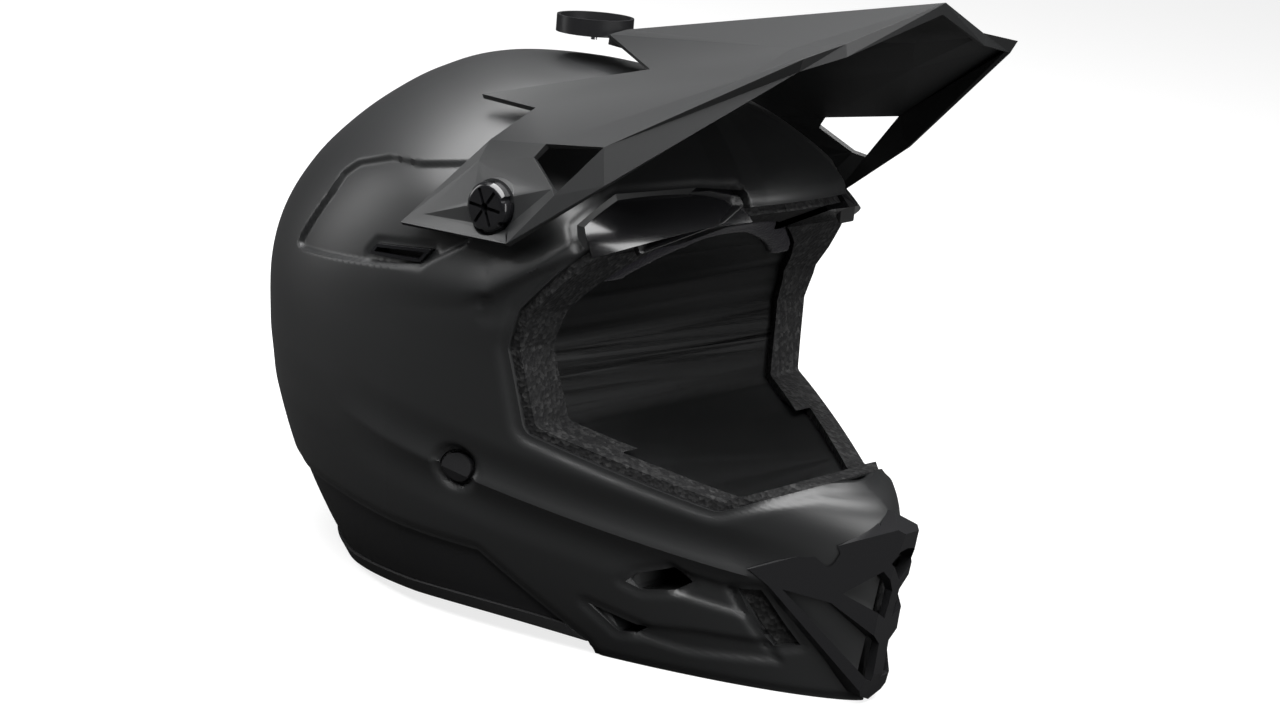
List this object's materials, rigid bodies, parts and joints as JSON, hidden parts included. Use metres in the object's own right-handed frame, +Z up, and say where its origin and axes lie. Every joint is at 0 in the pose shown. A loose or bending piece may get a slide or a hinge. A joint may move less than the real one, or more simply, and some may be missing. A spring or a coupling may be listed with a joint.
{
  "type": "full-face bicycle helmet",
  "caption": "Matte black full-face downhill bike helmet with a faceted tilting visor, camera cup, chin vents and removable cheek pads.",
  "frame": {"origin": "bottom centre of the helmet's box, on the surface that it stands on", "axes": "-Y is the front, where the face looks out; +Z is up; +X is the wearer's left"},
  "size_m": [0.256, 0.3658, 0.3225],
  "materials": {
    "shell_black": "matte black",
    "trim_rubber": "soft matte black",
    "dark_plastic": "matte moulded black",
    "foam_black": "fine beads, matte",
    "gloss_black": "glossy black",
    "satin_black": "satin black",
    "visor_black": "matte black",
    "mesh_foam": "mesh, matte",
    "pad_fabric": "plush and mesh knit",
    "webbing": "woven",
    "steel": "brushed, plated"
  },
  "bodies": {
    "helmet": {"outer_shell": "shell_black", "base_skirt": "dark_plastic", "base_trim": "trim_rubber", "crown_liner": "foam_black", "chin_liner": "foam_black", "brow_vent_left": "gloss_black", "brow_vent_right": "gloss_black", "side_insert_left": "gloss_black", "side_insert_right": "gloss_black", "side_mesh_left": "mesh_foam", "side_mesh_right": "mesh_foam", "rear_exhaust": "dark_plastic", "port_plug_left": "dark_plastic", "port_plug_right": "dark_plastic", "mouthpiece": "satin_black", "mouth_foam": "foam_black", "crown_pad": "pad_fabric", "brow_pad": "pad_fabric", "neck_roll": "pad_fabric", "chin_pad": "pad_fabric", "snap_studs": "steel", "screw_inserts": "steel", "strap_left": "webbing", "strap_right": "webbing", "strap_snap": "dark_plastic", "strap_rivets": "steel"},
    "visor": {"visor": "visor_black", "camera_cup": "satin_black"},
    "screw_left": {"side_screw_left": "gloss_black"},
    "screw_right": {"side_screw_right": "gloss_black"},
    "cup_screw": {"cup_screw": "steel"},
    "cheek_left": {"cheek_plate_left": "dark_plastic", "cheek_pad_left": "pad_fabric"},
    "cheek_right": {"cheek_plate_right": "dark_plastic", "cheek_pad_right": "pad_fabric"},
    "ring_inner": {"strap_ring_inner": "steel"},
    "ring_outer": {"strap_ring_outer": "steel"}
  },
  "joints": [
    {"name": "visor_tilt", "type": "hinge", "parent": "helmet", "child": "visor", "pos_m": [0, -0.01238, 0.2045], "axis": [1, 0, 0], "range_deg": [-3, 8]},
    {"name": "screw_spin_left", "type": "hinge", "parent": "helmet", "child": "screw_left", "pos_m": [0.12, -0.01238, 0.2045], "axis": [1, 0, 0], "continuous": true},
    {"name": "screw_spin_right", "type": "hinge", "parent": "helmet", "child": "screw_right", "pos_m": [-0.12, -0.01238, 0.2045], "axis": [-1, 0, 0], "continuous": true},
    {"name": "cup_screw_spin", "type": "hinge", "parent": "visor", "child": "cup_screw", "pos_m": [0, 0.03912, 0.2662], "axis": [0, 0.0872, 0.9962], "continuous": true},
    {"name": "cheek_pull_left", "type": "slide", "parent": "helmet", "child": "cheek_left", "axis": [-1, 0, 0], "range_m": [0, 0.012]},
    {"name": "cheek_pull_right", "type": "slide", "parent": "helmet", "child": "cheek_right", "axis": [1, 0, 0], "range_m": [0, 0.012]},
    {"name": "ring_swing_inner", "type": "hinge", "parent": "helmet", "child": "ring_inner", "pos_m": [0.0578, 0.05712, 0.03232], "axis": [0, 1, 0], "range_deg": [-3, 60]},
    {"name": "ring_swing_outer", "type": "hinge", "parent": "helmet", "child": "ring_outer", "pos_m": [0.0622, 0.05712, 0.03232], "axis": [0, 1, 0], "range_deg": [0, 3]}
  ]
}
